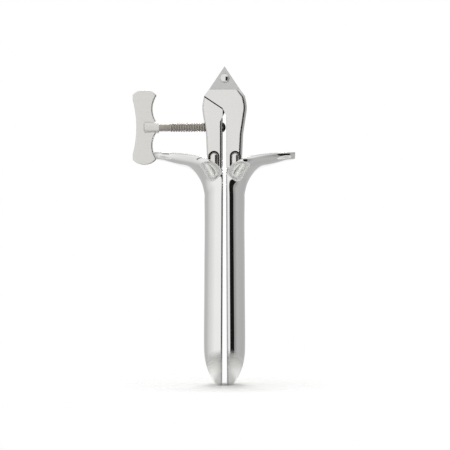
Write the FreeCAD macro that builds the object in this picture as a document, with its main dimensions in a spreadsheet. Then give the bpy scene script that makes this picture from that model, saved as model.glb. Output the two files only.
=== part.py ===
import FreeCAD, Part
import math
import os
import Sketcher

# A bivalve speculum: two trough-shaped valves that face each other, each with
# an arm that rises beside its mouth. The arms are lapped at the top and turn on
# one rivet, and a wing screw through the left arm pushes the right arm away.
# Millimetres. Z runs up along the closed valves from their tips, X is the way
# they open, and Y is their width, with the arms on the -Y side.

SIZES = [
    ("valve_length", 102.5, "tip to the place where the rim turns out"),
    ("tip_length", 20.0, "rounded end of a valve"),
    ("tip_hollow", 0.55, "opening inside the blunt end of a valve"),
    ("tip_width", 11.0, "width of the blunt end"),
    ("keel_low", 10.1, "keel from the parting plane above the tip"),
    ("keel_high", 9.75, "keel from the parting plane below the throat"),
    ("valve_width", 30.0, "width of the trough below the throat"),
    ("low_width", 28.6, "width of the trough above the tip"),
    ("wall", 1.5, "valve sheet"),
    ("gap_tip", 2.4, "between the two rims at the tips"),
    ("gap_throat", 1.5, "between the two rims at the throat"),
    ("flare_depth", 14.5, "keel turns out this far below the rim's turn"),
    ("lip_reach", 34.2, "outer end of a lip from the middle"),
    ("lip_rise", 10.4, "lip rim above the throat"),
    ("lip_hollow", 0.95, "dish of a lip at its outer end"),
    ("mouth_width", 48.6, "widest part of the mouth"),
    ("tongue_width", 17.2, "width of a lip near its end"),
    ("lip_end_width", 8.0, "blunt end of a lip"),
    ("arm_inset", 1.3, "middle of the arms behind the mouth's edge"),
    ("arm_thick", 6.0, "arm from front to back"),
    ("arm_gap", 1.8, "between the arms"),
    ("foot_sink", 8.0, "arms' lower end below the lips' top"),
    ("foot_reach", 8.2, "outer edge at the foot"),
    ("waist_reach", 8.8, "outer edge below the screw"),
    ("waist_drop", 3.6, "narrow place of that edge below the screw"),
    ("hip_reach", 10.8, "outer edge at its widest"),
    ("hip_rise", 0.5, "widest place above the head's inner corner"),
    ("shoulder_reach", 9.7, "head's corner on the far side"),
    ("shoulder_rise", 5.8, "that corner above the inner one"),
    ("crotch_reach", 1.0, "corner where the head meets the shank"),
    ("crotch_rise", 3.9, "that corner above the shank's inner edge"),
    ("throat_rise", 5.2, "end of the shank's inner edge above the screw"),
    ("plate_reach", 7.5, "half of the pointed plate's base"),
    ("plate_rise", 2.9, "base of the pointed plate above the shoulder"),
    ("apex_rise", 11.2, "top of the pointed plate above its base"),
    ("plate_step", 1.1, "pointed plate below the face of the head"),
    ("front_round", 2.0, "rounded outer edge on an arm's front"),
    ("back_round", 0.9, "rounded outer edge on an arm's back"),
    ("left_inner_round", 1.6, "rounded inner edge on the left arm's front"),
    ("right_inner_round", 0.5, "rounded inner edge on the right arm's front"),
    ("side_round", 14.0, "blended corners of an arm's outline"),
    ("lap_clear", 0.1, "between the lapped heads"),
    ("turn_clear", 0.12, "a swinging head and the other arm's step"),
    ("neck_reach", 5.0, "neck of an arm's foot from the middle"),
    ("neck_front", 0.6, "neck in front of the arms' middle"),
    ("neck_radius", 2.3, "neck that stands on the lip"),
    ("neck_drop", 2.6, "neck's round top below the lips' top"),
    ("niche_front", 1.0, "niche round the neck in front of it"),
    ("niche_gap", 0.6, "niche round the neck wider than it"),
    ("pivot_rise", 5.5, "hinge axis above the plate's base"),
    ("pivot_radius", 1.5, "rivet shank"),
    ("pivot_clear", 0.05, "running clearance on the rivet"),
    ("rivet_head_radius", 2.3, "domed head"),
    ("rivet_head_height", 1.3, "domed head"),
    ("screw_rise", 11.2, "screw axis above the lips"),
    ("screw_radius", 2.2, "screw over its thread"),
    ("thread_clear", 0.06, "screw in the arm's threaded hole"),
    ("screw_tip", 0.05, "screw's shoulder inside the left arm's face"),
    ("spigot_radius", 1.0, "spigot that carries the foot"),
    ("spigot_length", 0.6, "spigot that carries the foot"),
    ("spigot_clear", 0.03, "foot on its spigot"),
    ("foot_radius", 2.3, "thrust foot"),
    ("foot_skirt", 0.25, "straight part of the foot"),
    ("foot_dome", 1.15, "domed part of the foot"),
    ("wing_standoff", 29.3, "wing's middle beyond the left arm's edge"),
    ("wing_height", 35.8, "wing from end to end"),
    ("wing_width", 11.2, "wing across its lobes"),
    ("wing_thick", 3.0, "wing plate"),
    ("wing_back_waist", 1.7, "depth of the hollow in the wing's outer edge"),
    ("wing_cove_radius", 11.0, "hollows beside the socket"),
    ("wing_cove_depth", 1.8, "depth of those hollows"),
    ("wing_cove_height", 8.7, "middle of a hollow above the screw"),
    ("wing_end_radius", 7.6, "round ends of the wing"),
    ("wing_edge", 0.7, "rounded edges of the wing"),
    ("socket_radius", 3.05, "socket at the wing"),
    ("socket_nose_radius", 2.8, "socket at the screw"),
    ("socket_length", 6.9, "socket from the wing's middle outwards"),
    ("socket_depth", 7.2, "screw inside the socket"),
]

# Heights and places that follow from the sizes, each written once.
LIP_TOP = "(#valve_length + #lip_rise)"
SCREW = f"({LIP_TOP} + #screw_rise)"
WAIST = f"({SCREW} - #waist_drop)"
THROAT = f"({SCREW} + #throat_rise)"
CROTCH = f"({THROAT} + #crotch_rise)"
HIP = f"({CROTCH} + #hip_rise)"
SHOULDER = f"({CROTCH} + #shoulder_rise)"
PLATE = f"({SHOULDER} + #plate_rise)"
PIVOT = f"({PLATE} + #pivot_rise)"
APEX = f"({PLATE} + #apex_rise)"
FOOT = f"({LIP_TOP} - #foot_sink)"
ARM_PLANE = "(#mouth_width / 2 - #arm_inset)"
WING = "(#waist_reach + #wing_standoff)"
SCREW_END = "(#arm_gap / 2 - #screw_tip)"

doc = FreeCAD.newDocument("bivalve_speculum")
sheet = doc.addObject("Spreadsheet::Sheet", "Sizes")
for row, (alias, number, meaning) in enumerate(SIZES, start=1):
    sheet.set(f"A{row}", meaning)
    sheet.set(f"B{row}", str(number))
    sheet.setAlias(f"B{row}", alias)
doc.recompute()


def size(alias):
    """Reads one driving dimension from the sheet."""
    return float(sheet.get(alias))


def measure(formula):
    """Works out a formula of sizes; a name in a formula is written #name."""
    return float(sheet.evalExpression(formula.replace("#", "Sizes.")))


def bind(thing, path, formula):
    """Ties a property to a formula of sizes."""
    thing.setExpression(path, formula.replace("#", "Sizes."))


def plane(body, role):
    """Finds one of a body's own origin planes."""
    return next(item for item in body.Origin.OriginFeatures if item.Role == role)


def sketch_on(body, name, role, offset="0"):
    """Starts a sketch on an origin plane, moved along its normal."""
    sketch = body.newObject("Sketcher::SketchObject", name)
    sketch.AttachmentSupport = [(plane(body, role), "")]
    sketch.MapMode = "FlatFace"
    bind(sketch, "AttachmentOffset.Base.z", offset)
    return sketch


def fix_point(sketch, edge, end, formulas):
    """Holds one end of an edge at a place given by two formulas."""
    axes = (("DistanceX", -2), ("DistanceY", -1))
    for (kind, axis), formula in zip(axes, formulas):
        number = measure(formula)
        if abs(number) < 1e-9:
            sketch.addConstraint(Sketcher.Constraint("PointOnObject", edge, end, axis))
            continue
        rule = Sketcher.Constraint(kind, -1, 1, edge, end, number)
        index = sketch.addConstraint(rule)
        bind(sketch, f"Constraints[{index}]", formula)


def polygon(sketch, corners):
    """Draws a closed outline whose corners are pairs of formulas."""
    numbers = []
    for corner in corners:
        numbers.append([measure(formula) for formula in corner])
    count = len(corners)
    for index in range(count):
        start = FreeCAD.Vector(*numbers[index], 0)
        finish = FreeCAD.Vector(*numbers[(index + 1) % count], 0)
        sketch.addGeometry(Part.LineSegment(start, finish), False)
    for index in range(count):
        joint = Sketcher.Constraint("Coincident", index, 2, (index + 1) % count, 1)
        sketch.addConstraint(joint)
    for index, corner in enumerate(corners):
        fix_point(sketch, index, 1, corner)


def circle(sketch, centre, radius):
    """Draws a circle with its centre and radius given by formulas."""
    place = [measure(formula) for formula in centre]
    reach = measure(radius)
    ring = Part.Circle(FreeCAD.Vector(*place, 0), FreeCAD.Vector(0, 0, 1), reach)
    edge = sketch.addGeometry(ring, False)
    fix_point(sketch, edge, 3, centre)
    index = sketch.addConstraint(Sketcher.Constraint("Radius", edge, reach))
    bind(sketch, f"Constraints[{index}]", radius)


def pad(body, name, sketch, length, middle=False, reverse=False):
    feature = body.newObject("PartDesign::Pad", name)
    feature.Profile = sketch
    if middle:
        feature.SideType = "Symmetric"
    feature.Reversed = reverse
    bind(feature, "Length", length)
    return feature


def pocket(body, name, sketch, length, middle=False, reverse=False):
    """Cuts a sketch out of the body, and stops the build if nothing is cut."""
    doc.recompute()
    before = body.Shape.Volume
    feature = body.newObject("PartDesign::Pocket", name)
    feature.Profile = sketch
    if middle:
        feature.SideType = "Symmetric"
    feature.Reversed = reverse
    bind(feature, "Length", length)
    doc.recompute()
    if body.Shape.Volume > before - 1e-3:
        raise RuntimeError(f"{body.Label}: {name} cuts nothing")
    return feature


def fillet(body, name, picked, radius):
    """Rounds the edges that a test picks on the body's present shape."""
    doc.recompute()
    tip = body.Tip
    names = []
    for index, edge in enumerate(tip.Shape.Edges, start=1):
        if picked(edge):
            names.append(f"Edge{index}")
    feature = body.newObject("PartDesign::Fillet", name)
    feature.Base = (tip, names)
    bind(feature, "Radius", radius)
    doc.recompute()
    return feature


# Valves: a skin lofted through crescent sections. Each section lies between
# a point of the rim, on the parting side, and a point of the keel.

def rim_gap(height):
    """Half of the gap between the valves' rims at a height."""
    share = min(1.0, height / size("valve_length"))
    return 0.5 * (size("gap_tip") + share * (size("gap_throat") - size("gap_tip")))


def tip_sections():
    """Sections of the rounded end: height, keel and half width."""
    rows = []
    for share in (0.0, 0.05, 0.14, 0.28, 0.46, 0.7, 1.0):
        left = 1.0 - share
        nose = rim_gap(0.0) + 1.5 * size("wall") + size("tip_hollow")
        keel = nose + (size("keel_low") - nose) * (1.0 - left ** 2.65)
        blunt = 0.5 * size("tip_width")
        half = blunt + (0.5 * size("low_width") - blunt) * math.sqrt(1.0 - left * left)
        height = share * size("tip_length")
        rows.append(((rim_gap(height), height), (keel, height), half))
    return rows


def trough_sections():
    """Sections of the long straight part."""
    rows = []
    low = size("tip_length")
    high = size("valve_length") - size("flare_depth")
    for share in (0.3, 0.65, 0.9):
        height = low + share * (high - low)
        keel = size("keel_low") + share * (size("keel_high") - size("keel_low"))
        half = 0.5 * (size("low_width") + share * (size("valve_width") - size("low_width")))
        rows.append(((rim_gap(height), height), (keel, height), half))
    return rows


def keel_point(reach_share, rise_share):
    """Point of the flaring keel from its shares of the reach and the rise."""
    foot = size("valve_length") - size("flare_depth")
    end_thick = 1.5 * size("wall") + size("lip_hollow")
    top = size("valve_length") + size("lip_rise") - end_thick
    reach = size("keel_high") + reach_share * (size("lip_reach") - size("keel_high"))
    return (reach, foot + rise_share * (top - foot))


def lip_sections():
    """Sections that fan out from the throat to the end of the lip."""
    mouth = 0.5 * size("mouth_width")
    tongue = 0.5 * size("tongue_width")
    trough = 0.5 * size("valve_width")

    def opening(share):
        return trough + share * (mouth - trough)

    def closing(share):
        return tongue + share * (mouth - tongue)

    # share of the rim's reach, shares of the keel's reach and rise, half width
    shares = [
        (0.004, 0.04, 0.391, opening(0.22)),
        (0.034, 0.08, 0.501, opening(0.50)),
        (0.112, 0.15, 0.624, opening(0.84)),
        (0.200, 0.23, 0.718, mouth),
        (0.300, 0.32, 0.785, closing(0.885)),
        (0.430, 0.44, 0.828, closing(0.61)),
        (0.600, 0.60, 0.880, closing(0.28)),
        (0.780, 0.78, 0.938, closing(0.03)),
        (0.900, 0.90, 0.967, 0.9 * tongue),
        (0.965, 0.965, 0.986, 0.7 * tongue),
        (1.000, 1.000, 1.000, 0.5 * size("lip_end_width")),
    ]
    rim_in = rim_gap(size("valve_length"))
    rim_out = size("lip_reach") - rim_in
    rows = []
    for rim_share, reach_share, rise_share, half in shares:
        rim_curve = (1.0 - (1.0 - rim_share) ** 2) ** 0.427
        rim = (rim_in + rim_share * rim_out, size("valve_length") + rim_curve * size("lip_rise"))
        rows.append((rim, keel_point(reach_share, rise_share), half))
    return rows


def throat_sections():
    """Two sections where the rim is still straight and the keel turns out."""
    mouth = 0.5 * size("mouth_width")
    trough = 0.5 * size("valve_width")
    foot = size("valve_length") - size("flare_depth")
    rows = []
    for share, reach_share, rise_share, growth in ((0.5, 0.004, 0.168, 0.02), (1.0, 0.016, 0.280, 0.08)):
        height = foot + share * (size("valve_length") - foot)
        keel = keel_point(reach_share, rise_share)
        rows.append(((rim_gap(height), height), keel, trough + growth * (mouth - trough)))
    return rows


def crescent(rim, keel, half, inner, outer, square):
    """Closed section of a skin between two offsets from the outer face."""
    down = FreeCAD.Vector(keel[0] - rim[0], 0, keel[1] - rim[1])
    depth = down.Length
    down.normalize()
    round_off = 0.5 * (outer - inner)
    centre = FreeCAD.Vector(rim[0], 0, rim[1]) + down * (0.5 * size("wall"))
    across = FreeCAD.Vector(0, 1, 0)

    def bow(offset, way):
        reach = depth - 0.5 * size("wall") - offset
        points = []
        for step in range(13):
            turn = math.radians(way * (15.0 * step - 90.0))
            along = down * (reach * math.cos(turn))
            points.append(centre + along + across * ((half - offset) * math.sin(turn)))
        curve = Part.BSplineCurve()
        curve.interpolate(points)
        return curve

    def cap(start, finish):
        if square:
            return Part.LineSegment(start, finish).toShape()
        top = (start + finish) * 0.5 - down * round_off
        return Part.Arc(start, top, finish).toShape()

    outside = bow(inner, 1)
    inside = bow(outer, -1)
    edges = [
        outside.toShape(),
        cap(outside.EndPoint, inside.StartPoint),
        inside.toShape(),
        cap(inside.EndPoint, outside.StartPoint),
    ]
    return Part.Wire(edges)


def skin(rows, inner, outer, square=False):
    """Lofts a solid skin through the sections, with round or square rims."""
    wires = [crescent(rim, keel, half, inner, outer, square) for rim, keel, half in rows]
    return Part.makeLoft(wires, True, False)


lips = lip_sections()
stations = tip_sections() + trough_sections() + throat_sections() + lips
right_shape = skin(stations, 0.0, size("wall"))
left_shape = right_shape.mirror(FreeCAD.Vector(0, 0, 0), FreeCAD.Vector(1, 0, 0))
for label, shape in (("left_valve", left_shape), ("right_valve", right_shape)):
    valve = doc.addObject("Part::Feature", label)
    valve.Label = label
    valve.Shape = shape

# The bed is everything outside the middle of the lip's sheet. An arm loses the
# bed and then the valve itself, so its foot ends on the rim and seats inside.
bed_shape = skin(throat_sections() + lips, -2.0 * size("arm_thick"), 0.5 * size("wall"), True)
right_bed = doc.addObject("Part::Feature", "right_bed")
right_bed.Shape = bed_shape
left_bed = doc.addObject("Part::Feature", "left_bed")
left_bed.Shape = bed_shape.mirror(FreeCAD.Vector(0, 0, 0), FreeCAD.Vector(1, 0, 0))


# Arms: both are the same forging, one turned half round about the upright.

def face_edge(edge, side):
    """True for an edge that lies in the front (-1) or back (1) face."""
    box = edge.BoundBox
    return box.YLength < 1e-4 and abs(box.YMin - side * 0.5 * size("arm_thick")) < 1e-4


def outer_edge(side):
    """Picks the outer side's edges from the foot to the plate's base."""
    def picked(edge):
        box = edge.BoundBox
        low = box.ZMax < measure(PLATE) + 1e-3
        return face_edge(edge, side) and low and box.XMin > size("plate_reach") - 1e-3 and box.ZLength > 1.0
    return picked


def inner_edge(side):
    """Picks the upright inner edge beside the other arm."""
    def picked(edge):
        box = edge.BoundBox
        upright = box.XLength < 1e-4 and abs(box.XMin - 0.5 * size("arm_gap")) < 1e-4
        return face_edge(edge, side) and upright
    return picked


def corner_edge(edge):
    """True for the outline's blended corners, which run from front to back."""
    box = edge.BoundBox
    if box.YLength < size("arm_thick") - 1e-4:
        return False
    heights = (measure(WAIST), measure(HIP))
    return box.XMin > size("arm_gap") and min(abs(box.ZMin - h) for h in heights) < 1e-3


def forge_arm(label, turned):
    """One arm before its foot is fitted to the lip."""
    body = doc.addObject("PartDesign::Body", label + "_forging")
    bind(body, "Placement.Base.y", f"-{ARM_PLANE}")
    if turned:
        body.Placement.Rotation = FreeCAD.Rotation(FreeCAD.Vector(0, 0, 1), 180)
    outline = sketch_on(body, label + "_outline", "XZ_Plane")
    polygon(outline, [
        ("#arm_gap / 2", FOOT),
        ("#foot_reach", FOOT),
        ("#waist_reach", WAIST),
        ("#hip_reach", HIP),
        ("#shoulder_reach", SHOULDER),
        ("#plate_reach", PLATE),
        ("0", APEX),
        ("-#plate_reach", PLATE),
        ("-#shoulder_reach", SHOULDER),
        ("-#crotch_reach", CROTCH),
        ("#arm_gap / 2", THROAT),
    ])
    pad(body, label + "_blank", outline, "#arm_thick", middle=True)
    fillet(body, label + "_sides", corner_edge, "#side_round")
    front = 1 if turned else -1
    inner_round = "#left_inner_round" if turned else "#right_inner_round"
    fillet(body, label + "_front", outer_edge(front), "#front_round")
    fillet(body, label + "_back", outer_edge(-front), "#back_round")
    fillet(body, label + "_inside", inner_edge(front), inner_round)
    # The lap's step runs beside the other head's lower edge. Its gap lets the
    # head's far corner swing past.
    run = "(#shoulder_reach - #crotch_reach)"
    slope = f"(#shoulder_rise / {run})"
    length = f"sqrt({run} ^ 2 + #shoulder_rise ^ 2)"
    below = "(#shoulder_rise + #plate_rise + #pivot_rise)"
    edge_reach = f"((#crotch_reach * #shoulder_rise + {below} * {run}) / {length})"
    corner_reach = "sqrt(#shoulder_reach ^ 2 + (#plate_rise + #pivot_rise) ^ 2)"
    drop = f"(({corner_reach} - {edge_reach} + #turn_clear) * {length} / {run})"
    beyond = "3 * #shoulder_reach"
    half_lap = sketch_on(body, label + "_half_lap", "XZ_Plane", "#lap_clear / 2")
    polygon(half_lap, [
        (f"-{beyond}", f"{THROAT} - #arm_thick"),
        ("#arm_gap / 2", f"{THROAT} - #arm_thick"),
        ("#arm_gap / 2", f"{CROTCH} - {drop} + {slope} * (#arm_gap / 2 - #crotch_reach)"),
        (beyond, f"{CROTCH} - {drop} + {slope} * ({beyond} - #crotch_reach)"),
        (beyond, f"{APEX} + #arm_thick"),
        (f"-{beyond}", f"{APEX} + #arm_thick"),
    ])
    pocket(body, label + "_lap", half_lap, "#arm_thick")
    plate = sketch_on(body, label + "_plate", "XZ_Plane", "#arm_thick / 2 - #plate_step")
    polygon(plate, [
        (f"-{beyond}", PLATE),
        (beyond, PLATE),
        (beyond, f"{APEX} + #arm_thick"),
        (f"-{beyond}", f"{APEX} + #arm_thick"),
    ])
    pocket(body, label + "_face", plate, "2 * #plate_step", reverse=True)
    eye = sketch_on(body, label + "_eye", "XZ_Plane")
    circle(eye, ("0", PIVOT), "#pivot_radius + #pivot_clear")
    pocket(body, label + "_bore", eye, "2 * #arm_thick", middle=True)
    if turned:
        way = sketch_on(body, label + "_way", "YZ_Plane")
        circle(way, ("0", SCREW), "#screw_radius + #thread_clear")
        pocket(body, label + "_thread", way, "4 * #hip_reach", middle=True)
    return body


def foot_pin(name, side, front, radius):
    """An upright round pin with a ball top at an arm's foot."""
    stem = doc.addObject("Part::Cylinder", name + "_stem")
    ball = doc.addObject("Part::Sphere", name + "_ball")
    top = f"{LIP_TOP} - #neck_drop"
    bind(stem, "Radius", radius)
    bind(ball, "Radius", radius)
    bind(stem, "Height", f"{top} - {FOOT}")
    bind(stem, "Placement.Base.z", FOOT)
    bind(ball, "Placement.Base.z", top)
    for thing in (stem, ball):
        bind(thing, "Placement.Base.x", f"{side} * #neck_reach")
        bind(thing, "Placement.Base.y", f"-{ARM_PLANE} - ({front})")
    return [stem, ball]


def cut(name, base, tool):
    result = doc.addObject("Part::Cut", name)
    result.Base = base
    result.Tool = tool
    result.Label = name
    return result


def fuse(name, parts):
    result = doc.addObject("Part::MultiFuse", name)
    result.Shapes = parts
    result.Label = name
    return result


ARMS = (
    ("left_arm", True, left_bed, "left_valve"),
    ("right_arm", False, right_bed, "right_valve"),
)
for label, turned, bed, valve_name in ARMS:
    side = -1 if turned else 1
    forging = forge_arm(label, turned)
    hollow = foot_pin(label + "_niche", side, "#neck_front + #niche_front", "#neck_radius + #niche_gap")
    neck = foot_pin(label + "_neck", side, "#neck_front", "#neck_radius")
    niche = fuse(label + "_niche", hollow)
    arched = cut(label + "_arched", forging, niche)
    footed = fuse(label + "_footed", [arched] + neck)
    trimmed = cut(label + "_trimmed", footed, bed)
    cut(label, trimmed, doc.getObject(valve_name))
doc.recompute()


# Pivot rivet: a shank through both heads with a dome on each plate.
rivet = doc.addObject("PartDesign::Body", "pivot_rivet")
rivet.Label = "pivot_rivet"
bind(rivet, "Placement.Base.y", f"-{ARM_PLANE}")
bind(rivet, "Placement.Base.z", PIVOT)
shank_sketch = sketch_on(rivet, "rivet_shank_circle", "XZ_Plane")
circle(shank_sketch, ("0", "0"), "#pivot_radius")
pad(rivet, "rivet_shank", shank_sketch, "#arm_thick - 2 * #plate_step", middle=True)
doc.recompute()


def dome(radius, height):
    """A spherical cap that stands on the XY plane."""
    ball = (radius * radius + height * height) / (2.0 * height)
    sphere = Part.makeSphere(ball, FreeCAD.Vector(0, 0, height - ball))
    slab = Part.makeBox(4 * radius, 4 * radius, height, FreeCAD.Vector(-2 * radius, -2 * radius, 0))
    return sphere.common(slab)


rivet_domes = []
for name, side in (("rivet_front_dome", -1), ("rivet_back_dome", 1)):
    head = doc.addObject("Part::Feature", name)
    head.Shape = dome(size("rivet_head_radius"), size("rivet_head_height"))
    reach = side * (0.5 * size("arm_thick") - size("plate_step"))
    place = FreeCAD.Vector(0, reach - measure(ARM_PLANE), measure(PIVOT))
    head.Placement = FreeCAD.Placement(place, FreeCAD.Rotation(FreeCAD.Vector(1, 0, 0), -90 * side))
    rivet_domes.append(head)
rivet.Label = "rivet_shank_body"
joined_rivet = doc.addObject("Part::MultiFuse", "pivot_rivet_fused")
joined_rivet.Shapes = [rivet] + rivet_domes
joined_rivet.Label = "pivot_rivet"


def along_screw(thing, left):
    """Lays a cylinder or cone on the screw axis, its foot at a place on X."""
    thing.Placement.Rotation = FreeCAD.Rotation(FreeCAD.Vector(0, 1, 0), 90)
    bind(thing, "Placement.Base.x", left)
    bind(thing, "Placement.Base.y", f"-{ARM_PLANE}")
    bind(thing, "Placement.Base.z", SCREW)


def rod(name, left, length, radius):
    """A round bar on the screw axis."""
    bar = doc.addObject("Part::Cylinder", name)
    bind(bar, "Height", length)
    bind(bar, "Radius", radius)
    along_screw(bar, left)
    return bar


# Screw: one bar from the wing's socket to the shoulder behind the foot.
socket_end = f"-{WING} + #socket_length"
screw_start = f"{socket_end} - #socket_depth"
shaft = rod("screw_shaft", screw_start, f"-{SCREW_END} - ({screw_start})", "#screw_radius")
spigot = rod("screw_spigot", f"-{SCREW_END}", "#spigot_length", "#spigot_radius")
fuse("thrust_screw", [shaft, spigot])

# Thrust foot: a small cap that stays still on the spigot while the screw turns.
skirt = rod("foot_skirt_ring", f"-{SCREW_END}", "#foot_skirt", "#foot_radius")
cap = doc.addObject("Part::Feature", "foot_cap")
cap.Shape = dome(size("foot_radius"), size("foot_dome"))
cap_place = FreeCAD.Vector(size("foot_skirt") - measure(SCREW_END), -measure(ARM_PLANE), measure(SCREW))
cap.Placement = FreeCAD.Placement(cap_place, FreeCAD.Rotation(FreeCAD.Vector(0, 1, 0), 90))
foot_blank = fuse("foot_blank", [skirt, cap])
seat_length = "#spigot_length + 2 * #spigot_clear"
foot_seat = rod("foot_seat", f"-{SCREW_END}", seat_length, "#spigot_radius + #spigot_clear")
cut("thrust_foot", foot_blank, foot_seat)


# Wing: a flat plate with hollow sides and round ends, and a socket.

def upright_disc(name, x_place, height, radius):
    """A disc as thick as the wing, standing in the plane of the wing."""
    disc = doc.addObject("Part::Cylinder", name)
    disc.Placement.Rotation = FreeCAD.Rotation(FreeCAD.Vector(1, 0, 0), 90)
    bind(disc, "Radius", radius)
    bind(disc, "Height", "2 * #wing_thick")
    bind(disc, "Placement.Base.x", x_place)
    bind(disc, "Placement.Base.y", f"-{ARM_PLANE} + #wing_thick")
    bind(disc, "Placement.Base.z", height)
    return disc


plate = doc.addObject("Part::Box", "wing_plate")
bind(plate, "Length", "#wing_width")
bind(plate, "Width", "#wing_thick")
bind(plate, "Height", "#wing_height")
bind(plate, "Placement.Base.x", f"-{WING} - #wing_width / 2")
bind(plate, "Placement.Base.y", f"-{ARM_PLANE} - #wing_thick / 2")
bind(plate, "Placement.Base.z", f"{SCREW} - #wing_height / 2")
span = "(#wing_height * 0.36)"
back_radius = f"({span} ^ 2 + #wing_back_waist ^ 2) / (2 * #wing_back_waist)"
back_place = f"-{WING} - #wing_width / 2 + #wing_back_waist - {back_radius}"
hollows = [upright_disc("wing_back_hollow", back_place, SCREW, back_radius)]
cove_place = f"-{WING} + #wing_width / 2 - #wing_cove_depth + #wing_cove_radius"
for name, sign in (("wing_upper_cove", "+"), ("wing_lower_cove", "-")):
    height = f"{SCREW} {sign} #wing_cove_height"
    hollows.append(upright_disc(name, cove_place, height, "#wing_cove_radius"))
waisted = cut("wing_waisted", plate, fuse("wing_hollows", hollows))
ends = []
for name, sign in (("wing_upper_end", "+"), ("wing_lower_end", "-")):
    height = f"{SCREW} {sign} (#wing_height / 2 - #wing_end_radius)"
    ends.append(upright_disc(name, f"-{WING}", height, "#wing_end_radius"))
middle = doc.addObject("Part::Box", "wing_middle_box")
bind(middle, "Length", "2 * #wing_width")
bind(middle, "Width", "2 * #wing_thick")
bind(middle, "Height", "#wing_height - 2 * #wing_end_radius")
bind(middle, "Placement.Base.x", f"-{WING} - #wing_width")
bind(middle, "Placement.Base.y", f"-{ARM_PLANE} - #wing_thick")
bind(middle, "Placement.Base.z", f"{SCREW} - #wing_height / 2 + #wing_end_radius")
lobes = doc.addObject("Part::MultiCommon", "wing_lobes")
lobes.Shapes = [waisted, fuse("wing_limits", ends + [middle])]
doc.recompute()
softened = doc.addObject("Part::Fillet", "wing_softened")
softened.Base = lobes
rounded = []
for index, edge in enumerate(lobes.Shape.Edges, start=1):
    if edge.BoundBox.YLength < 1e-4:
        rounded.append((index, size("wing_edge"), size("wing_edge")))
softened.Edges = rounded
socket = doc.addObject("Part::Cone", "wing_socket")
bind(socket, "Radius1", "#socket_radius")
bind(socket, "Radius2", "#socket_nose_radius")
bind(socket, "Height", "#socket_length")
along_screw(socket, f"-{WING}")
bore = rod("wing_bore", screw_start, "#socket_depth + #wing_width", "#screw_radius")
cut("wing_grip", fuse("wing_solid", [softened, socket]), bore)
doc.recompute()

NODES = [
    "left_valve",
    "right_valve",
    "left_arm",
    "right_arm",
    "pivot_rivet",
    "thrust_screw",
    "thrust_foot",
    "wing_grip",
]

for item in doc.Objects:
    if "Invalid" in item.State or "Error" in item.State:
        raise RuntimeError(f"{item.Label} failed: {item.State}")
os.makedirs("parts", exist_ok=True)
for node in NODES:
    found = doc.getObjectsByLabel(node)
    if len(found) != 1:
        raise RuntimeError(f"{node}: {len(found)} objects have this label")
    shape = found[0].Shape
    if shape.isNull() or not shape.isValid():
        raise RuntimeError(f"{node} has a bad shape")
    box = shape.BoundBox
    print(
        f"{node}: solids {len(shape.Solids)} volume {shape.Volume:.1f}"
        f" x {box.XMin:.2f} {box.XMax:.2f} y {box.YMin:.2f} {box.YMax:.2f}"
        f" z {box.ZMin:.2f} {box.ZMax:.2f}"
    )
    shape.exportStep(f"parts/{node}.step")
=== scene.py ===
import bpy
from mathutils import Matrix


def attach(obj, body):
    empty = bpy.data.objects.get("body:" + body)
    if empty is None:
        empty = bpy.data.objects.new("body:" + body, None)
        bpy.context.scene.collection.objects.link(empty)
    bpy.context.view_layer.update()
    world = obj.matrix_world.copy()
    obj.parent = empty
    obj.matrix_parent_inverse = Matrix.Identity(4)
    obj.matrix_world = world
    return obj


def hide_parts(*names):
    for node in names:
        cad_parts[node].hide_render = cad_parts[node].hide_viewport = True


bl_info = {
    "name": "Bivalve speculum looks",
    "version": (1, 0, 0),
    "blender": (4, 5, 0),
    "location": "View3D > Sidebar > Speculum",
    "description": "Dresses the speculum's solids in polished steel and lights them",
    "category": "Object",
}

import math

import bmesh
import bpy
import numpy as np
from mathutils import Vector

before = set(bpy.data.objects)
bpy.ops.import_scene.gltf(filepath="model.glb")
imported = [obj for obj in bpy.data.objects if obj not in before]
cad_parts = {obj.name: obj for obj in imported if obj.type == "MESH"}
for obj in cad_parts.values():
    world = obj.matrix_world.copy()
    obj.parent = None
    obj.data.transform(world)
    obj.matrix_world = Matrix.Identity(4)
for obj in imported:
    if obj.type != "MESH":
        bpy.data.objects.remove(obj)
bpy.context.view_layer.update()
MM = 0.001

# Places in millimetres that the finishes and the screw are set by.
ARM_PLANE = -23.0
SCREW_HEIGHT = 124.1
PLATE_FOOT = 142.0

# The valves' sizes in millimetres, the same as the solids'.
GAP_AT_TIP = 2.4
GAP_AT_THROAT = 1.5
TIP_KEEL = 4.0
LOW_KEEL = 10.1
HIGH_KEEL = 9.75
TIP_HALF = 5.5
LOW_HALF = 14.3
HIGH_HALF = 15.0
MOUTH_HALF = 24.3
TONGUE_HALF = 8.6
LIP_END_HALF = 4.0
FLARE_DEPTH = 14.5
LIP_REACH = 34.2
LIP_RISE = 10.4
LIP_END_DROP = 3.2


def colour(code):
    """Turns an sRGB hex code into linear RGBA."""
    parts = [int(code[i : i + 2], 16) / 255 for i in (1, 3, 5)]
    linear = [c / 12.92 if c <= 0.04045 else ((c + 0.055) / 1.055) ** 2.4 for c in parts]
    return (*linear, 1.0)


class BladeSettings(bpy.types.PropertyGroup):
    """Sizes of a valve's sheet, the same as the solid's."""

    length: bpy.props.FloatProperty(
        name="Length", description="Tip to throat", default=102.5 * MM, unit="LENGTH"
    )
    tip: bpy.props.FloatProperty(
        name="Tip", description="Length of the rounded end", default=20 * MM, unit="LENGTH"
    )
    wall: bpy.props.FloatProperty(
        name="Sheet", description="Thickness of the sheet", default=1.5 * MM, unit="LENGTH"
    )
    around: bpy.props.IntProperty(
        name="Around", description="Faces across the outer skin", default=64, min=16
    )
    along: bpy.props.IntProperty(
        name="Along", description="Faces from tip to lip", default=260, min=40
    )


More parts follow.
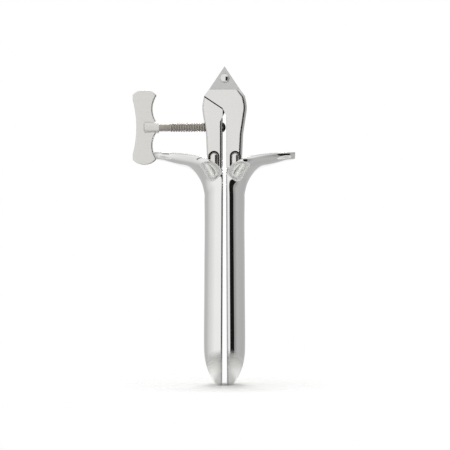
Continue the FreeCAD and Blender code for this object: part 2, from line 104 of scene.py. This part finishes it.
class ThreadSettings(bpy.types.PropertyGroup):
    """Sizes of the screw and its thread."""

    pitch: bpy.props.FloatProperty(
        name="Pitch", description="Distance between crests", default=1.2 * MM, unit="LENGTH"
    )
    crest: bpy.props.FloatProperty(
        name="Crest", description="Radius over the crests", default=2.2 * MM, unit="LENGTH"
    )
    root: bpy.props.FloatProperty(
        name="Root", description="Radius at the roots", default=1.86 * MM, unit="LENGTH"
    )
    shank: bpy.props.FloatProperty(
        name="Shank", description="Plain neck by the wing", default=1.95 * MM, unit="LENGTH"
    )


class EdgeSettings(bpy.types.PropertyGroup):
    """Small rounding of the forged and ground pieces."""

    break_edge: bpy.props.FloatProperty(
        name="Broken edge", description="Width of a broken edge", default=0.22 * MM, unit="LENGTH"
    )
    angle: bpy.props.FloatProperty(
        name="Angle", description="Sharpest fold shaded smooth", default=0.6, unit="ROTATION"
    )


class SteelSettings(bpy.types.PropertyGroup):
    """The paler tone of each steel."""

    sheet: bpy.props.FloatVectorProperty(
        name="Sheet",
        description="Buffed faces of the valves",
        default=colour("#EDEDEC")[:3],
        subtype="COLOR",
        min=0.0,
        max=1.0,
    )
    forging: bpy.props.FloatVectorProperty(
        name="Forging",
        description="Ground faces of the arms",
        default=colour("#E3E2E0")[:3],
        subtype="COLOR",
        min=0.0,
        max=1.0,
    )
    wing: bpy.props.FloatVectorProperty(
        name="Wing",
        description="Satin faces of the wing",
        default=colour("#DEDDDA")[:3],
        subtype="COLOR",
        min=0.0,
        max=1.0,
    )
    thread: bpy.props.FloatVectorProperty(
        name="Thread",
        description="Cut thread of the screw",
        default=colour("#BDB8B0")[:3],
        subtype="COLOR",
        min=0.0,
        max=1.0,
    )


class StageSettings(bpy.types.PropertyGroup):
    """Camera, board and lamp."""

    distance: bpy.props.FloatProperty(
        name="Distance", description="Camera to the blades", default=1.05, unit="LENGTH"
    )
    frame_side: bpy.props.FloatProperty(
        name="Field", description="Side of the square seen", default=0.2143, unit="LENGTH"
    )
    height: bpy.props.FloatProperty(
        name="Height", description="Height of the lens", default=77.6 * MM, unit="LENGTH"
    )
    floor: bpy.props.FloatProperty(
        name="Board", description="Half the board's side", default=0.16, unit="LENGTH"
    )
    board_tone: bpy.props.FloatVectorProperty(
        name="Board tone",
        description="Colour of the board",
        default=colour("#DCDCDA")[:3],
        subtype="COLOR",
        min=0.0,
        max=1.0,
    )
    lamp_side: bpy.props.FloatProperty(
        name="Lamp", description="Side of the soft lamp", default=0.28, unit="LENGTH"
    )
    lamp_power: bpy.props.FloatProperty(
        name="Power", description="Power of the soft lamp", default=3.6, unit="POWER"
    )


def add(tree, kind, *links, **settings):
    """Adds a node; links are (its input, the socket or value that feeds it)."""
    made = tree.nodes.new("ShaderNode" + kind)
    for name, value in settings.items():
        setattr(made, name, value)
    for name, value in links:
        socket = made.inputs[name]
        if isinstance(value, bpy.types.NodeSocket):
            tree.links.new(value, socket)
        else:
            socket.default_value = value
    return made


def ramp(tree, factor, stops):
    """Adds a grey ramp with stops of (place, grey)."""
    made = add(tree, "ValToRGB", ("Fac", factor))
    band = made.color_ramp
    while len(band.elements) < len(stops):
        band.elements.new(0.5)
    for element, (place, grey) in zip(band.elements, stops):
        element.position = place
        element.color = (grey, grey, grey, 1.0)
    return made.outputs["Color"]


def new_material(name):
    made = bpy.data.materials.new(name)
    made.use_nodes = True
    made.node_tree.nodes.clear()
    return made, made.node_tree


def steel(name, light, dark, rough, spread, grain, depth):
    """Steel that clouds between two tones. Its grain, a scale for each axis,
    shows in roughness and in a bump of the given depth in metres."""
    made, tree = new_material(name)
    place = add(tree, "TexCoord").outputs["Object"]
    stretched = add(tree, "Mapping", ("Vector", place), ("Scale", grain))
    lines = add(
        tree, "TexNoise", ("Vector", stretched.outputs[0]), ("Scale", 1.0), ("Detail", 6.0)
    )
    clouds = add(tree, "TexNoise", ("Vector", place), ("Scale", 45.0), ("Detail", 3.0))
    shade = add(
        tree,
        "Mix",
        ("Factor", clouds.outputs["Fac"]),
        (6, colour(dark)),
        (7, light),
        data_type="RGBA",
    )
    both = add(
        tree, "Math", (0, lines.outputs["Fac"]), (1, clouds.outputs["Fac"]), operation="ADD"
    )
    roughness = add(
        tree,
        "MapRange",
        ("Value", both.outputs[0]),
        ("From Min", 0.6),
        ("From Max", 1.4),
        ("To Min", rough - spread),
        ("To Max", rough + spread),
    )
    bump = add(
        tree,
        "Bump",
        ("Height", lines.outputs["Fac"]),
        ("Strength", 0.5),
        ("Distance", depth),
    )
    skin = add(
        tree,
        "BsdfPrincipled",
        ("Base Color", shade.outputs[2]),
        ("Metallic", 1.0),
        ("Roughness", roughness.outputs[0]),
        ("Normal", bump.outputs[0]),
    )
    add(tree, "OutputMaterial", ("Surface", skin.outputs[0]))
    return made


def finishes():
    """The steels of the piece, by how each surface was made."""
    tones = bpy.context.scene.speculum_steels

    def tone(rgb):
        return (*rgb, 1.0)

    made = {}
    # Rolled stainless sheet, pressed and buffed: soft mirror, no visible grain.
    made["sheet"] = steel(
        "buffed_stainless_sheet", tone(tones.sheet), "#E6E6E5", 0.07, 0.015, (500, 500, 60), 5e-7
    )
    # Forged stainless, ground flat and buffed: faint lines along the arm.
    made["forged"] = steel(
        "ground_stainless_forging", tone(tones.forging), "#D9D8D6", 0.22, 0.05, (900, 900, 50), 4e-6
    )
    # Blasted face left dull: the pointed plates.
    made["dull"] = steel(
        "blasted_stainless", colour("#D2D2D1"), "#C6C6C5", 0.42, 0.05, (1500, 1500, 1500), 6e-6
    )
    # Faces inside the lap and the screw's foot: a dark colour that paints the shade in the gap
    # between the arms.
    made["lap"] = steel(
        "lap_face_painted_shade", colour("#57544F"), "#45423E", 0.45, 0.05, (700, 700, 700), 4e-6
    )
    # Satin stainless wing: broad soft glare, lines across the wing.
    made["satin"] = steel(
        "satin_stainless_wing", tone(tones.wing), "#D5D4D1", 0.34, 0.05, (120, 900, 1200), 5e-6
    )
    # Cut thread: a darker, warmer steel than the other pieces.
    made["thread"] = steel(
        "cut_stainless_thread", tone(tones.thread), "#8F8A83", 0.30, 0.07, (90, 900, 900), 6e-6
    )
    # Ground edge of the sheet, left duller than its faces; its darker tone is painted shade,
    # standing in for the dark gap that the rims mirror.
    made["rim"] = steel(
        "sheet_edge_painted_gap_shade", colour("#CECECD"), "#C3C3C2", 0.24, 0.04, (400, 400, 400), 2e-6
    )
    # Turned and polished rivet.
    made["turned"] = steel(
        "turned_stainless", colour("#E4E4E3"), "#D6D6D6", 0.10, 0.03, (900, 900, 900), 2e-6
    )
    return made


STEELS = {}


def material(key):
    """A finish by its key; all are made at the first call."""
    if not STEELS:
        STEELS.update(finishes())
    return STEELS[key]


def give(name, mesh, body, nodes, key):
    """Shows a mesh as a piece that stands for solid nodes and moves with them."""
    made = bpy.data.objects.new(name, mesh)
    bpy.context.scene.collection.objects.link(made)
    mesh.materials.clear()
    mesh.materials.append(material(key))
    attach(made, body)
    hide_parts(*nodes)
    return made


def smooth_by_angle(mesh, angle):
    """Shades smooth, with the folds past an angle kept sharp."""
    for face in mesh.polygons:
        face.use_smooth = True
    mesh.set_sharp_from_angle(angle=angle)


def tube_mesh(name, rings):
    """A tube through rings of points, each closed on itself, with both ends filled."""
    shape = bmesh.new()
    rows = [[shape.verts.new(point) for point in ring] for ring in rings]
    for low, high in zip(rows, rows[1:]):
        for step in range(len(low)):
            after = (step + 1) % len(low)
            shape.faces.new((low[step], low[after], high[after], high[step]))
    shape.faces.new(rows[0][::-1])
    shape.faces.new(rows[-1])
    bmesh.ops.recalc_face_normals(shape, faces=shape.faces)
    mesh = bpy.data.meshes.new(name)
    shape.to_mesh(mesh)
    shape.free()
    return mesh


# The valves follow the solids' own sections, joined by one smooth spline, so that
# reflections run along the steel without facets.


def half_gap(height, length):
    """Half the opening between the rims at a height."""
    rise = min(1.0, height / length)
    return 0.5 * (GAP_AT_TIP + rise * (GAP_AT_THROAT - GAP_AT_TIP))


def tip_sections(length, tip):
    """Sections of the rounded end, closer together at the blunt tip."""
    made = []
    for share in (0.0, 0.05, 0.14, 0.28, 0.46, 0.7, 1.0):
        left = 1.0 - share
        height = share * tip
        keel = TIP_KEEL + (LOW_KEEL - TIP_KEEL) * (1.0 - left**2.65)
        half = TIP_HALF + (LOW_HALF - TIP_HALF) * math.sqrt(1.0 - left * left)
        made.append((half_gap(height, length), height, keel, height, half))
    return made


def trough_sections(length, tip, start):
    """Sections of the straight trough, which widens slowly upwards."""
    made = []
    for share in (0.3, 0.65, 0.9):
        height = tip + share * (start - tip)
        keel = LOW_KEEL + share * (HIGH_KEEL - LOW_KEEL)
        half = LOW_HALF + share * (HIGH_HALF - LOW_HALF)
        made.append((half_gap(height, length), height, keel, height, half))
    return made


def lip_sections(length, start):
    """Sections through the throat and out along the lip."""
    rise = length + LIP_RISE - LIP_END_DROP - start
    rim_start = 0.5 * GAP_AT_THROAT

    def keel_at(reach, up):
        return HIGH_KEEL + (LIP_REACH - HIGH_KEEL) * reach, start + rise * up

    def growing(share):
        return HIGH_HALF + (MOUTH_HALF - HIGH_HALF) * share

    def closing(share):
        return TONGUE_HALF + (MOUTH_HALF - TONGUE_HALF) * share

    made = []
    for part, reach, up, share in ((0.5, 0.004, 0.168, 0.02), (1.0, 0.016, 0.280, 0.08)):
        height = start + part * FLARE_DEPTH
        made.append((half_gap(height, length), height, *keel_at(reach, up), growing(share)))
    # Shares of the rim's and the keel's way out, of the keel's rise, and half the width.
    lips = [
        (0.004, 0.04, 0.391, growing(0.22)),
        (0.034, 0.08, 0.501, growing(0.50)),
        (0.112, 0.15, 0.624, growing(0.84)),
        (0.200, 0.23, 0.718, MOUTH_HALF),
        (0.300, 0.32, 0.785, closing(0.885)),
        (0.430, 0.44, 0.828, closing(0.61)),
        (0.600, 0.60, 0.880, closing(0.28)),
        (0.780, 0.78, 0.938, closing(0.03)),
        (0.900, 0.90, 0.967, 0.9 * TONGUE_HALF),
        (0.965, 0.965, 0.986, 0.7 * TONGUE_HALF),
        (1.000, 1.000, 1.000, LIP_END_HALF),
    ]
    for rim, reach, up, half in lips:
        place = rim_start + (LIP_REACH - rim_start) * rim
        height = length + LIP_RISE * (1.0 - (1.0 - rim) ** 2) ** 0.427
        made.append((place, height, *keel_at(reach, up), half))
    return made


def blade_sections(sizes):
    """Rim x, rim z, keel x, keel z and half width of each section, from the tip up."""
    length = sizes.length / MM
    tip = sizes.tip / MM
    start = length - FLARE_DEPTH
    rows = tip_sections(length, tip)
    rows += trough_sections(length, tip, start)
    rows += lip_sections(length, start)
    return np.array(rows)


def through(rows, count):
    """Natural cubic spline through rows, sampled evenly along its length."""
    steps = np.linalg.norm(np.diff(rows[:, 2:4], axis=0), axis=1)
    steps += np.linalg.norm(np.diff(rows[:, 0:2], axis=0), axis=1)
    knots = np.concatenate([[0.0], np.cumsum(steps)])
    size = len(knots)
    gaps = np.diff(knots)
    system = np.eye(size)
    right = np.zeros_like(rows)
    for i in range(1, size - 1):
        system[i, i - 1 : i + 2] = gaps[i - 1], 2 * (gaps[i - 1] + gaps[i]), gaps[i]
        slope_after = (rows[i + 1] - rows[i]) / gaps[i]
        slope_before = (rows[i] - rows[i - 1]) / gaps[i - 1]
        right[i] = 6 * (slope_after - slope_before)
    bend = np.linalg.solve(system, right)
    places = np.linspace(0.0, knots[-1], count)
    made = []
    for place in places:
        i = min(int(np.searchsorted(knots, place, side="right")) - 1, size - 2)
        gap = gaps[i]
        a = (knots[i + 1] - place) / gap
        b = 1.0 - a
        curve = ((a**3 - a) * bend[i] + (b**3 - b) * bend[i + 1]) * gap * gap / 6
        made.append(a * rows[i] + b * rows[i + 1] + curve)
    return np.array(made)


RIM_STEPS = 6


def crescent(row, wall, around, thin):
    """Closed ring of a valve's section; thin below 1 narrows it about its middle."""
    rim = Vector((row[0], 0, row[1]))
    keel = Vector((row[2], 0, row[3]))
    half = row[4]
    down = keel - rim
    depth = down.length
    down.normalize()
    centre = rim + down * (0.5 * wall)
    across = Vector((0, 1, 0))
    edge = 0.5 * wall * (1.0 - thin)
    points = []

    def skin(offset, way):
        reach = depth - 0.5 * wall - offset
        width = half - offset
        for step in range(around + 1):
            turn = way * math.pi * (step / around - 0.5)
            points.append(centre + down * reach * math.cos(turn) + across * width * math.sin(turn))

    def rounded_rim(side):
        middle = centre + across * side * (half - 0.5 * wall)
        reach = 0.5 * wall * thin
        for step in range(1, RIM_STEPS):
            turn = math.pi * step / RIM_STEPS
            away = across * math.cos(turn) - down * math.sin(turn)
            points.append(middle + away * reach)

    skin(edge, 1)
    rounded_rim(1)
    skin(wall - edge, -1)
    rounded_rim(-1)
    return [point * MM for point in points]


def blade_mesh(name, sizes, side):
    """A valve, with its blunt tip rounded over the sheet's thickness and its rim
    faces marked for the second material."""
    wall = sizes.wall / MM
    rows = through(blade_sections(sizes), sizes.along)
    rings = []
    blunt = 0.5 * wall
    for step in range(6):
        turn = math.pi * step / 12
        row = rows[0].copy()
        row[[1, 3]] += blunt * (1.0 - math.sin(turn))
        rings.append(crescent(row, wall, sizes.around, max(0.04, math.sin(turn))))
    first = int(np.searchsorted(rows[:, 1], blunt)) + 1
    for row in rows[first:]:
        rings.append(crescent(row, wall, sizes.around, 1.0))
    if side < 0:
        rings = [[Vector((-point.x, point.y, point.z)) for point in ring] for ring in rings]
    mesh = tube_mesh(name, rings)
    smooth_by_angle(mesh, 1.0)
    ring_size = len(rings[0])
    skin_end = sizes.around
    skins = ring_size * (len(rings) - 1)
    for index, face in enumerate(mesh.polygons):
        place = index % ring_size
        on_rim = skin_end <= place < skin_end + RIM_STEPS or place >= ring_size - RIM_STEPS
        face.material_index = int(on_rim and index < skins)
    return mesh


class SPECULUM_OT_blades(bpy.types.Operator):
    """Builds both valves as smooth buffed sheet"""

    bl_idname = "speculum.blades"
    bl_label = "Valves"

    def execute(self, context):
        sizes = context.scene.speculum_blades
        sides = (("right", 1, "right_side"), ("left", -1, "left_side"))
        for side, sign, body in sides:
            mesh = blade_mesh(f"{side}_blade_sheet", sizes, sign)
            node = f"{side}_valve"
            marks = [face.material_index for face in mesh.polygons]
            give(f"{side}_blade_sheet", mesh, body, [node], "sheet")
            mesh.materials.append(material("rim"))
            mesh.polygons.foreach_set("material_index", marks)
        return {"FINISHED"}


def merged_copy(node):
    """A copy of a solid's mesh with its loose triangles joined and flats cleaned."""
    shape = bmesh.new()
    shape.from_mesh(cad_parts[node].data)
    bmesh.ops.remove_doubles(shape, verts=shape.verts, dist=1e-6)
    bmesh.ops.dissolve_limit(
        shape, angle_limit=math.radians(0.6), verts=shape.verts, edges=shape.edges
    )
    mesh = bpy.data.meshes.new(node + "_surface")
    shape.to_mesh(mesh)
    shape.free()
    return mesh


def soften(piece, edges):
    """Breaks the sharp edges of a piece and evens its shading."""
    bevel = piece.modifiers.new("broken_edges", "BEVEL")
    bevel.width = edges.break_edge
    bevel.segments = 3
    bevel.limit_method = "ANGLE"
    bevel.angle_limit = edges.angle
    bevel.use_clamp_overlap = True
    bevel.harden_normals = False
    even = piece.modifiers.new("even_shading", "WEIGHTED_NORMAL")
    even.keep_sharp = True


class SPECULUM_OT_arms(bpy.types.Operator):
    """Finishes both arms as ground forgings with dull pointed plates"""

    bl_idname = "speculum.arms"
    bl_label = "Arms"

    def execute(self, context):
        edges = context.scene.speculum_edges
        for side in ("left", "right"):
            mesh = merged_copy(f"{side}_arm")
            smooth_by_angle(mesh, edges.angle)
            made = give(
                f"{side}_arm_forging", mesh, f"{side}_side", [f"{side}_arm"], "forged"
            )
            mesh.materials.append(material("dull"))
            mesh.materials.append(material("lap"))
            # Flat faces on the plates take the dull steel; flat faces in the lap's plane take
            # painted shade, a dark colour for the gap between the arms.
            for face in mesh.polygons:
                on_plate = face.center.z > PLATE_FOOT * MM
                flat = abs(face.normal.y) > 0.99
                depth = abs(face.center.y - ARM_PLANE * MM)
                if flat and on_plate and depth > 1.0 * MM:
                    face.material_index = 1
                elif flat and depth < 0.2 * MM:
                    face.material_index = 2
            soften(made, edges)
        return {"FINISHED"}


class SPECULUM_OT_rivet(bpy.types.Operator):
    """Polishes the pivot rivet and gives the thrust foot the dark painted shade of the lap faces"""

    bl_idname = "speculum.rivet"
    bl_label = "Rivet and foot"

    def execute(self, context):
        edges = context.scene.speculum_edges
        # The thrust foot's dark colour is painted shade, the same as on the lap faces.
        pieces = (("pivot_rivet", "left_side", "turned"), ("thrust_foot", "foot", "lap"))
        for node, body, key in pieces:
            mesh = merged_copy(node)
            smooth_by_angle(mesh, edges.angle)
            give(node + "_turned", mesh, body, [node], key)
        return {"FINISHED"}


def turned_core(shape, profile, sides):
    """Spins a profile of (x, radius) in millimetres round the screw's axis."""
    axis = Vector((0, ARM_PLANE, SCREW_HEIGHT)) * MM
    line = []
    for place, radius in profile:
        line.append(shape.verts.new(Vector((place, ARM_PLANE + radius, SCREW_HEIGHT)) * MM))
    edges = [shape.edges.new(pair) for pair in zip(line, line[1:])]
    bmesh.ops.spin(
        shape,
        geom=line + edges,
        cent=axis,
        axis=(1, 0, 0),
        angle=2 * math.pi,
        steps=sides,
        use_merge=True,
    )
    bmesh.ops.remove_doubles(shape, verts=shape.verts, dist=1e-7)
    bmesh.ops.holes_fill(shape, edges=shape.edges, sides=0)
    bmesh.ops.recalc_face_normals(shape, faces=shape.faces)


def threaded(shape, sizes, start, finish):
    """Adds a helical thread between two places on the screw axis. It runs in and out
    at its ends, so it is laid row by row."""
    pitch = sizes.pitch / MM
    crest = sizes.crest / MM
    root = sizes.root / MM
    sides = 36
    last = sides * ((finish - start) / pitch - 1.0)
    run_out = 0.6 * sides
    outline = ((0.0, 0.0), (0.12, 0.0), (0.44, 1.0), (0.62, 1.0), (0.94, 0.0), (1.0, 0.0))
    rows = []
    for step in range(int(last) + 1):
        turn = 2 * math.pi * step / sides
        along = start + pitch * step / sides
        height = max(0.0, min(1.0, step / run_out, (last - step) / run_out))
        row = []
        for offset, share in outline:
            radius = root + (crest - root) * share * height
            y = ARM_PLANE + radius * math.cos(turn)
            z = SCREW_HEIGHT + radius * math.sin(turn)
            row.append(shape.verts.new(Vector((along + offset * pitch, y, z)) * MM))
        rows.append(row)
    for low, high in zip(rows, rows[1:]):
        for a, b, c, d in zip(low, low[1:], high[1:], high):
            shape.faces.new((a, b, c, d))


class SPECULUM_OT_screw(bpy.types.Operator):
    """Cuts the thread on the screw"""

    bl_idname = "speculum.screw"
    bl_label = "Screw"

    def execute(self, context):
        sizes = context.scene.speculum_thread
        root = sizes.root / MM
        neck = sizes.shank / MM
        # The socket's end, the neck, the root under the thread, and the spigot.
        profile = [
            (-38.3, neck),
            (-26.6, neck),
            (-26.3, root),
            (-1.15, root),
            (-0.86, root - 0.15),
            (-0.85, 1.0),
            (-0.35, 1.0),
            (-0.25, 0.9),
        ]
        shape = bmesh.new()
        turned_core(shape, profile, 48)
        threaded(shape, sizes, -26.8, -0.9)
        bmesh.ops.remove_doubles(shape, verts=shape.verts, dist=1e-7)
        mesh = bpy.data.meshes.new("threaded_screw")
        shape.to_mesh(mesh)
        shape.free()
        smooth_by_angle(mesh, 0.5)
        give("threaded_screw", mesh, "screw", ["thrust_screw"], "thread")
        return {"FINISHED"}


class SPECULUM_OT_wing(bpy.types.Operator):
    """Gives the wing its satin finish and soft edges"""

    bl_idname = "speculum.wing"
    bl_label = "Wing"

    def execute(self, context):
        edges = context.scene.speculum_edges
        mesh = merged_copy("wing_grip")
        smooth_by_angle(mesh, edges.angle)
        made = give("satin_wing", mesh, "screw", ["wing_grip"], "satin")
        soften(made, edges)
        return {"FINISHED"}


BOARD_LIFT = 0.12


def board_material(tone):
    """White studio board; it keeps the shadow, and lens and steel both see it white."""
    made, tree = new_material("white_studio_board")
    rays = add(tree, "LightPath").outputs
    mirrored = add(
        tree, "Math", (0, rays["Is Camera Ray"]), (1, rays["Is Glossy Ray"]), operation="MAXIMUM"
    )
    seen = add(
        tree,
        "Math",
        (0, mirrored.outputs[0]),
        (1, rays["Is Transmission Ray"]),
        operation="MAXIMUM",
    )
    lift = add(tree, "Math", (0, seen.outputs[0]), (1, BOARD_LIFT), operation="MULTIPLY")
    board = add(
        tree,
        "BsdfPrincipled",
        ("Base Color", (*tone, 1.0)),
        ("Roughness", 0.9),
        ("Emission Color", colour("#FFFFFF")),
        ("Emission Strength", lift.outputs[0]),
    )
    board.inputs["Specular IOR Level"].default_value = 0.0
    # The board thins out towards its edge, so the steel mirrors no hard rim.
    soft_edge(tree, board, 0.012, 0.06)
    return made


def soft_edge(tree, surface, near, far):
    """Ends a material in a surface that thins out between two radii."""
    place = add(tree, "TexCoord").outputs["Object"]
    away = add(tree, "VectorMath", (0, place), operation="LENGTH")
    thin = add(
        tree,
        "MapRange",
        ("Value", away.outputs["Value"]),
        ("From Min", near),
        ("From Max", far),
        interpolation_type="SMOOTHSTEP",
    )
    nothing = add(tree, "BsdfTransparent")
    faded = add(
        tree, "MixShader", (0, thin.outputs[0]), (1, surface.outputs[0]), (2, nothing.outputs[0])
    )
    add(tree, "OutputMaterial", ("Surface", faded.outputs[0]))


# The studio screens as seen from the blades. Each row is a bearing in degrees from
# the camera's side, positive to the right, and the grey of the screen there. The
# white room shows between the two screens, in front of the piece and behind it.
SCREENS = [
    (-168, 0.56),
    (-150, 0.54),
    (-136, 0.58),
    (-120, 0.74),
    (-88, 0.90),
    (-66, 1.00),
    (17, 1.00),
    (22, 0.01),
    (64, 0.01),
    (66, 0.45),
    (74, 0.36),
    (84, 0.47),
    (96, 0.54),
    (140, 0.49),
    (168, 0.54),
]
LEFT_SCREEN = (-168, -66)
RIGHT_SCREEN = (17, 168)
SCREEN_REACH = 2.4
TABLE_RADIUS = 0.16
TABLE_DROP = 0.002


def screen_material():
    """Lit screens that are graded by bearing and pale towards the top."""
    made, tree = new_material("graded_studio_screen")
    place = add(tree, "TexCoord").outputs["Object"]
    aim = add(tree, "VectorMath", (0, place), operation="NORMALIZE")
    parts = add(tree, "SeparateXYZ", ("Vector", aim.outputs["Vector"]))
    front = add(tree, "Math", (0, parts.outputs["Y"]), (1, -1.0), operation="MULTIPLY")
    turn = add(
        tree, "Math", (0, parts.outputs["X"]), (1, front.outputs[0]), operation="ARCTAN2"
    )
    share = add(
        tree,
        "MapRange",
        ("Value", turn.outputs[0]),
        ("From Min", -math.pi),
        ("From Max", math.pi),
    )
    greys = ramp(tree, share.outputs[0], [(0.5 + turned / 360, grey) for turned, grey in SCREENS])
    overhead = add(
        tree,
        "MapRange",
        ("Value", parts.outputs["Z"]),
        ("From Min", 0.42),
        ("From Max", 0.70),
    )
    lit = add(
        tree,
        "Mix",
        ("Factor", overhead.outputs[0]),
        (6, greys),
        (7, (1.0, 1.0, 1.0, 1.0)),
        data_type="RGBA",
    )
    glow = add(tree, "Emission", ("Color", lit.outputs[2]), ("Strength", 1.0))
    add(tree, "OutputMaterial", ("Surface", glow.outputs[0]))
    return made


def stage_piece(name, shape, finish, seen):
    """Adds a mesh to the stage; one that isn't seen shows only in the steel."""
    mesh = bpy.data.meshes.new(name)
    shape.to_mesh(mesh)
    shape.free()
    mesh.materials.append(finish)
    made = bpy.data.objects.new(name, mesh)
    bpy.context.scene.collection.objects.link(made)
    made.visible_camera = seen


def studio_board(side, tone):
    """The flat white board that the tips stand on."""
    shape = bmesh.new()
    bmesh.ops.create_grid(shape, x_segments=1, y_segments=1, size=side)
    stage_piece("studio_floor", shape, board_material(tone), True)


def studio_screen(name, bearings, finish):
    """A curved screen round the blades between two bearings."""
    first, last = bearings
    shape = bmesh.new()
    bearing = math.radians(first)
    across = SCREEN_REACH * math.sin(bearing)
    ahead = -SCREEN_REACH * math.cos(bearing)
    foot = shape.verts.new((across, ahead, -SCREEN_REACH))
    head = shape.verts.new((across, ahead, SCREEN_REACH))
    edge = shape.edges.new((foot, head))
    bmesh.ops.spin(
        shape,
        geom=[foot, head, edge],
        cent=(0, 0, 0),
        axis=(0, 0, 1),
        angle=math.radians(last - first),
        steps=32,
    )
    stage_piece(name, shape, finish, False)


def table_material():
    """Grey laminate of the table that the white board lies on."""
    made, tree = new_material("grey_table_laminate")
    top = add(tree, "BsdfDiffuse", ("Color", colour("#B4B4B2")))
    soft_edge(tree, top, 0.04, 0.16)
    return made


def studio_table():
    """A round table top under the board."""
    shape = bmesh.new()
    bmesh.ops.create_circle(shape, cap_ends=True, segments=64, radius=TABLE_RADIUS)
    bmesh.ops.translate(shape, verts=shape.verts, vec=(0, 0, -TABLE_DROP))
    stage_piece("studio_table", shape, table_material(), False)


def white_room():
    """White all round, for the lens and for the steel alike."""
    world = bpy.data.worlds.new("white_room")
    bpy.context.scene.world = world
    world.use_nodes = True
    tree = world.node_tree
    tree.nodes.clear()
    white = add(tree, "Background", ("Color", (1, 1, 1, 1)), ("Strength", 1.0))
    add(tree, "OutputWorld", ("Surface", white.outputs[0]))


def softbox(name, place, side, power):
    """A square lamp that faces the foot of the blades."""
    lamp = bpy.data.lights.new(name, "AREA")
    lamp.shape = "SQUARE"
    lamp.size = side
    lamp.energy = power
    made = bpy.data.objects.new(name, lamp)
    bpy.context.scene.collection.objects.link(made)
    made.location = place
    made.rotation_euler = (-place).to_track_quat("-Z", "Y").to_euler()


class SPECULUM_OT_stage(bpy.types.Operator):
    """Adds the board, the screens, the soft lamp and the camera"""

    bl_idname = "speculum.stage"
    bl_label = "Stage"

    def execute(self, context):
        stage = context.scene.speculum_stage
        studio_board(stage.floor, stage.board_tone)
        studio_table()
        graded = screen_material()
        studio_screen("left_studio_screen", LEFT_SCREEN, graded)
        studio_screen("right_studio_screen", RIGHT_SCREEN, graded)
        white_room()
        lamp_place = Vector((-0.02, 0.42, 0.85))
        softbox("overhead_softbox", lamp_place, stage.lamp_side, stage.lamp_power)
        lens = bpy.data.cameras.new("packshot_camera")
        lens.lens = lens.sensor_width * stage.distance / stage.frame_side
        lens.clip_start = 0.05
        lens.clip_end = 30.0
        camera = bpy.data.objects.new("packshot_camera", lens)
        context.scene.collection.objects.link(camera)
        camera.location = (0.0002, ARM_PLANE * MM - stage.distance, stage.height)
        camera.rotation_euler = (math.radians(90), 0, 0)
        context.scene.camera = camera
        context.scene.view_settings.view_transform = "Standard"
        return {"FINISHED"}


class SPECULUM_PT_panel(bpy.types.Panel):
    """Builds the speculum's looks from the sidebar"""

    bl_idname = "SPECULUM_PT_panel"
    bl_label = "Speculum"
    bl_space_type = "VIEW_3D"
    bl_region_type = "UI"
    bl_category = "Speculum"

    def draw(self, context):
        scene = context.scene
        for settings in (
            scene.speculum_blades,
            scene.speculum_thread,
            scene.speculum_edges,
            scene.speculum_steels,
            scene.speculum_stage,
        ):
            box = self.layout.box()
            for name in settings.bl_rna.properties.keys():
                if name not in ("rna_type", "name"):
                    box.prop(settings, name)
        for operator in OPERATORS:
            self.layout.operator(operator.bl_idname)


OPERATORS = (
    SPECULUM_OT_blades,
    SPECULUM_OT_arms,
    SPECULUM_OT_rivet,
    SPECULUM_OT_screw,
    SPECULUM_OT_wing,
    SPECULUM_OT_stage,
)
GROUPS = (BladeSettings, ThreadSettings, EdgeSettings, SteelSettings, StageSettings)


def register():
    for made in (*GROUPS, *OPERATORS, SPECULUM_PT_panel):
        bpy.utils.register_class(made)
    bpy.types.Scene.speculum_blades = bpy.props.PointerProperty(type=BladeSettings)
    bpy.types.Scene.speculum_thread = bpy.props.PointerProperty(type=ThreadSettings)
    bpy.types.Scene.speculum_edges = bpy.props.PointerProperty(type=EdgeSettings)
    bpy.types.Scene.speculum_steels = bpy.props.PointerProperty(type=SteelSettings)
    bpy.types.Scene.speculum_stage = bpy.props.PointerProperty(type=StageSettings)


def unregister():
    del bpy.types.Scene.speculum_blades
    del bpy.types.Scene.speculum_thread
    del bpy.types.Scene.speculum_edges
    del bpy.types.Scene.speculum_steels
    del bpy.types.Scene.speculum_stage
    for made in reversed((*GROUPS, *OPERATORS, SPECULUM_PT_panel)):
        bpy.utils.unregister_class(made)


def main():
    register()
    bpy.ops.speculum.blades()
    bpy.ops.speculum.arms()
    bpy.ops.speculum.rivet()
    bpy.ops.speculum.screw()
    bpy.ops.speculum.wing()
    bpy.ops.speculum.stage()


if __name__ == "__main__":
    main()
